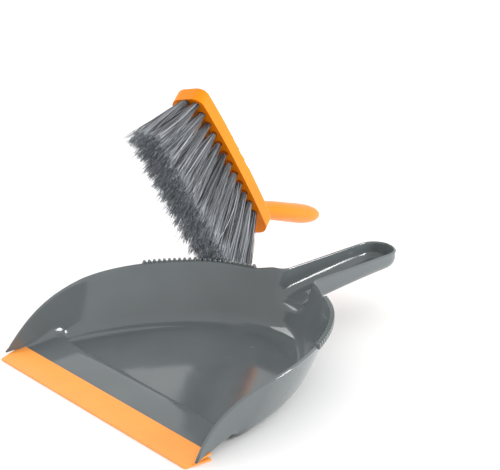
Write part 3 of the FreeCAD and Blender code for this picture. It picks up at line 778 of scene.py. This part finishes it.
class DUSTPAN_OT_lip(bpy.types.Operator):
    """Builds the soft lip strip along the front edge"""

    bl_idname = "dustpan.lip"
    bl_label = "Lip strip"

    def execute(self, context):
        sizes = settings().lip
        skin, nose, taper = sizes.skin / MM, sizes.nose / MM, sizes.taper / MM
        depth = (LIP_HIGH.y - LIP_LOW.y) / MM
        height = LIP_HIGH.z / MM
        half = LIP_HIGH.x / MM
        groove = 6.0
        slope = (height - nose) / depth
        profile = [(0.0, 0.0), (depth, 0.0), (depth, skin), (groove, skin),
                   (groove, nose + slope * groove - skin), (depth, height - skin), (depth, height),
                   (0.0, nose)]
        rings = []
        steps = 40
        for step in range(steps + 1):
            share = 2 * step / steps - 1
            rings.append([(share * (half - taper * (1 - y / depth)), y + FRONT, z)
                          for y, z in profile])
        bm = bmesh.new()
        add_tube(bm, rings)
        lip = finish_mesh(bm, "lip_strip_soft", weld=1e-7)
        add_modifier(lip, "BEVEL", width=sizes.rounding, segments=3, limit_method="ANGLE",
                     angle_limit=math.radians(40), harden_normals=False)
        apply_modifiers(lip)
        lip.data.shade_smooth()
        lip.data.set_sharp_from_angle(angle=math.radians(40))
        dress(lip, satin_elastomer(settings().finishes.lip), "pan")
        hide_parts("lip_strip")
        return {"FINISHED"}


class DUSTPAN_OT_block(bpy.types.Operator):
    """Finishes the brush block with its handle, and the anchor staples"""

    bl_idname = "dustpan.block"
    bl_label = "Brush block"

    def execute(self, context):
        block = frame["nodes"]["brush_block"]
        dress(block, bright_polypropylene(settings().finishes.brush), "brush")
        staples = frame["nodes"]["anchor_staples"]
        dress(staples, zinc_wire(), "brush")
        return {"FINISHED"}


class DUSTPAN_OT_tufts(bpy.types.Operator):
    """Fills every tuft with filaments"""

    bl_idname = "dustpan.tufts"
    bl_label = "Tufts"

    SEED = 4100
    STEPS = 6              # rings along a filament
    THIRD = 2.0944         # a third of a turn, in radians
    END_SLACK = 1e-4       # metres; vertices this near an end belong to its ring
    ROOT_SUNK = 0.002      # metres; how deep in its hole a filament starts
    SPLAY = 0.0012         # metres; usual sideways error of a tip
    STRAY_SHARE = 0.035
    STRAY_SPLAY = (0.002, 0.006)
    WANDER = 0.0011
    STRAY_BOW, USUAL_BOW = 0.0022, 0.0010
    PINCH = 0.0015         # metres; how far the filaments draw together halfway
    TIP_START, TIP_WIDTH = 0.9, 0.7
    ROOT_SHADE, ROOT_SHADE_END = 0.25, 0.3
    PAINTED_TIP_LIGHT_START = 0.78       # share of the length at which the painted highlight towards the tip starts

    def execute(self, context):
        sizes = settings().brush
        finishes = settings().finishes
        material = extruded_filament(finishes.strand_dark, finishes.strand_middle,
                                     finishes.pale_strands_and_painted_tips)
        turn = (Matrix.Rotation(sizes.turn[0], 3, "Z") @ Matrix.Rotation(sizes.turn[1], 3, "Y")
                @ Matrix.Rotation(sizes.turn[2], 3, "X"))
        along, across, up = turn.col[0], turn.col[1], turn.col[2]
        for number, name in enumerate(TUFTS):
            draw = random.Random(self.SEED + number)
            piece = self.tuft(name, sizes, draw, Vector(along), Vector(across), Vector(up))
            dress(piece, material, "brush")
            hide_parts(name)
        return {"FINISHED"}

    def tuft(self, name, sizes, draw, along, across, up):
        points = [v.co for v in frame["nodes"][name].data.vertices]
        heights = [p.dot(up) for p in points]
        low, high = min(heights), max(heights)
        tip_ring = [p for p, h in zip(points, heights) if h < low + self.END_SLACK]
        root_ring = [p for p, h in zip(points, heights) if h > high - self.END_SLACK]
        tip = sum(tip_ring, Vector()) / len(tip_ring)
        root = sum(root_ring, Vector()) / len(root_ring)
        tip_radius = max((p - tip).length for p in tip_ring)
        root_radius = max((p - root).length for p in root_ring)
        mouth = root - up * sizes.root_depth
        reach = tip - mouth
        steps = self.STEPS
        bm = bmesh.new()
        tone_layer = bm.verts.layers.float.new("strand_tone")
        for strand in range(sizes.strands):
            radius, angle = math.sqrt(draw.random()), draw.uniform(0, 2 * math.pi)
            side = along * math.cos(angle) + across * math.sin(angle)
            start = mouth + up * self.ROOT_SUNK + side * radius * (root_radius - sizes.strand / 2)
            splay = draw.gauss(0.0, self.SPLAY)
            stray = draw.random() < self.STRAY_SHARE
            if stray:
                splay += draw.uniform(*self.STRAY_SPLAY)
            wander = along * draw.gauss(0, self.WANDER) + across * draw.gauss(0, self.WANDER)
            length = 1.0 + draw.gauss(-0.006, sizes.unevenness / reach.length * 0.6)
            spread = radius * tip_radius * sizes.spread + splay
            end = mouth + reach * length + side * spread + wander
            bend = self.STRAY_BOW if stray else self.USUAL_BOW
            bow = (along * draw.gauss(0, 1) + across * draw.gauss(0, 1)) * bend
            twist = draw.uniform(0, 2 * math.pi)
            tone = min(max(draw.gauss(0.45, 0.24), 0.0), 1.0)
            # Tone of the painted highlight towards this strand's tip
            painted_tip_light_tone = draw.uniform(0.45, 1.0)
            rings = []
            for step in range(steps):
                t = step / (steps - 1)
                centre = start.lerp(end, t) + bow * math.sin(math.pi * t)
                centre += side * radius * (t * t - t) * self.PINCH
                width = sizes.strand / 2 * (1.0 if t < self.TIP_START else self.TIP_WIDTH)
                turns = [twist + k * self.THIRD for k in range(3)]
                rings.append([(centre + (along * math.cos(a) + across * math.sin(a)) * width) / MM
                              for a in turns])
            made = add_patch(bm, 4, steps, lambda i, j: rings[j][i % 3])
            for index, vertex in enumerate(made):
                t = (index // 4) / (steps - 1)
                # Painted shade near the root and a painted highlight towards the tip, mixed into the
                # strand's tone
                near_root = 1 - smooth_share(t, 0.0, self.ROOT_SHADE_END)
                shaded = max(tone - self.ROOT_SHADE * near_root, 0.0)
                vertex[tone_layer] = blend_value(shaded, painted_tip_light_tone,
                                                 smooth_share(t, self.PAINTED_TIP_LIGHT_START, 1.0))
        bmesh.ops.remove_doubles(bm, verts=bm.verts, dist=1e-8)
        ends = [e for e in bm.edges if e.is_boundary]
        bmesh.ops.holes_fill(bm, edges=ends, sides=3)
        return finish_mesh(bm, name + "_filaments", smooth_angle=80.0, weld=1e-9)


class DUSTPAN_OT_stage(bpy.types.Operator):
    """Adds the floor, the lights, the surroundings and the camera"""

    bl_idname = "dustpan.stage"
    bl_label = "Stage"

    def execute(self, context):
        studio = settings().studio
        bm = bmesh.new()
        bmesh.ops.create_grid(bm, x_segments=8, y_segments=8, size=6.0)
        bmesh.ops.translate(bm, verts=bm.verts, vec=(0, 0, -0.0004))
        floor = finish_mesh(bm, "studio_floor")
        floor.data.materials.append(studio_paper(settings().finishes.backdrop))

        world = bpy.data.worlds.new("white_surroundings")
        context.scene.world = world
        world.use_nodes = True
        background = world.node_tree.nodes["Background"]
        background.inputs["Color"].default_value = (1.0, 1.0, 1.0, 1.0)
        background.inputs["Strength"].default_value = studio.surround

        self.lamp("rear_softbox", (0.85, 0.72, 0.42), (-0.10, -0.03, 0.03), 0.34, 0.5, studio.key)
        self.lamp("left_softbox", (-1.2, -0.5, 1.0), (0.0, 0.0, 0.05), 0.8, 0.8, studio.key)

        back = Vector((math.sin(studio.azimuth) * math.cos(studio.elevation),
                       -math.cos(studio.azimuth) * math.cos(studio.elevation),
                       math.sin(studio.elevation)))
        data = bpy.data.cameras.new("camera")
        data.lens = studio.lens
        data.sensor_width = 36.0
        data.clip_start, data.clip_end = 0.05, 60.0
        camera = bpy.data.objects.new("camera", data)
        camera.location = Vector(studio.aim) + back * studio.distance
        camera.rotation_euler = Euler((math.pi / 2 - studio.elevation, 0.0, studio.azimuth))
        context.scene.collection.objects.link(camera)
        context.scene.camera = camera
        context.scene.view_settings.view_transform = "Standard"
        return {"FINISHED"}

    def lamp(self, name, place, aim, width, height, power):
        """Rectangular soft light that faces its aim."""
        data = bpy.data.lights.new(name, "AREA")
        data.shape = "RECTANGLE"
        data.size, data.size_y = width, height
        data.energy = power
        lamp = bpy.data.objects.new(name, data)
        lamp.location = place
        lamp.rotation_euler = (Vector(aim) - Vector(place)).to_track_quat("-Z", "Y").to_euler()
        bpy.context.scene.collection.objects.link(lamp)


class DustPanSettings(bpy.types.PropertyGroup):
    """Everything a user would change."""

    pan: PointerProperty(type=PanSizes, name="Pan", description="Sizes of the pan")
    lip: PointerProperty(type=LipSizes, name="Lip", description="Sizes of the lip strip")
    brush: PointerProperty(type=BrushSizes, name="Brush", description="Make of the brush")
    finishes: PointerProperty(type=Finishes, name="Finishes", description="Colours")
    studio: PointerProperty(type=StudioSettings, name="Studio", description="Camera and lights")


class DUSTPAN_PT_panel(bpy.types.Panel):
    """Lists the settings and the building steps."""

    bl_idname = "DUSTPAN_PT_panel"
    bl_label = "Dust pan and brush"
    bl_space_type = "VIEW_3D"
    bl_region_type = "UI"
    bl_category = "Dust pan"

    def draw(self, context):
        for group in (settings().pan, settings().lip, settings().brush, settings().finishes,
                      settings().studio):
            column = self.layout.box().column()
            for key in group.__annotations__:
                column.prop(group, key)
        for operator in OPERATORS:
            self.layout.operator(operator.bl_idname)


OPERATORS = (DUSTPAN_OT_stage, DUSTPAN_OT_pan, DUSTPAN_OT_lip, DUSTPAN_OT_block, DUSTPAN_OT_tufts)
CLASSES = (PanSizes, LipSizes, BrushSizes, Finishes, StudioSettings, DustPanSettings) + OPERATORS
CLASSES += (DUSTPAN_PT_panel,)


def register():
    for item in CLASSES:
        bpy.utils.register_class(item)
    bpy.types.Scene.dustpan = PointerProperty(type=DustPanSettings)


def unregister():
    del bpy.types.Scene.dustpan
    for item in reversed(CLASSES):
        bpy.utils.unregister_class(item)


def main():
    register()
    bpy.ops.dustpan.stage()
    bpy.ops.dustpan.pan()
    bpy.ops.dustpan.lip()
    bpy.ops.dustpan.block()
    bpy.ops.dustpan.tufts()


if __name__ == "__main__":
    main()
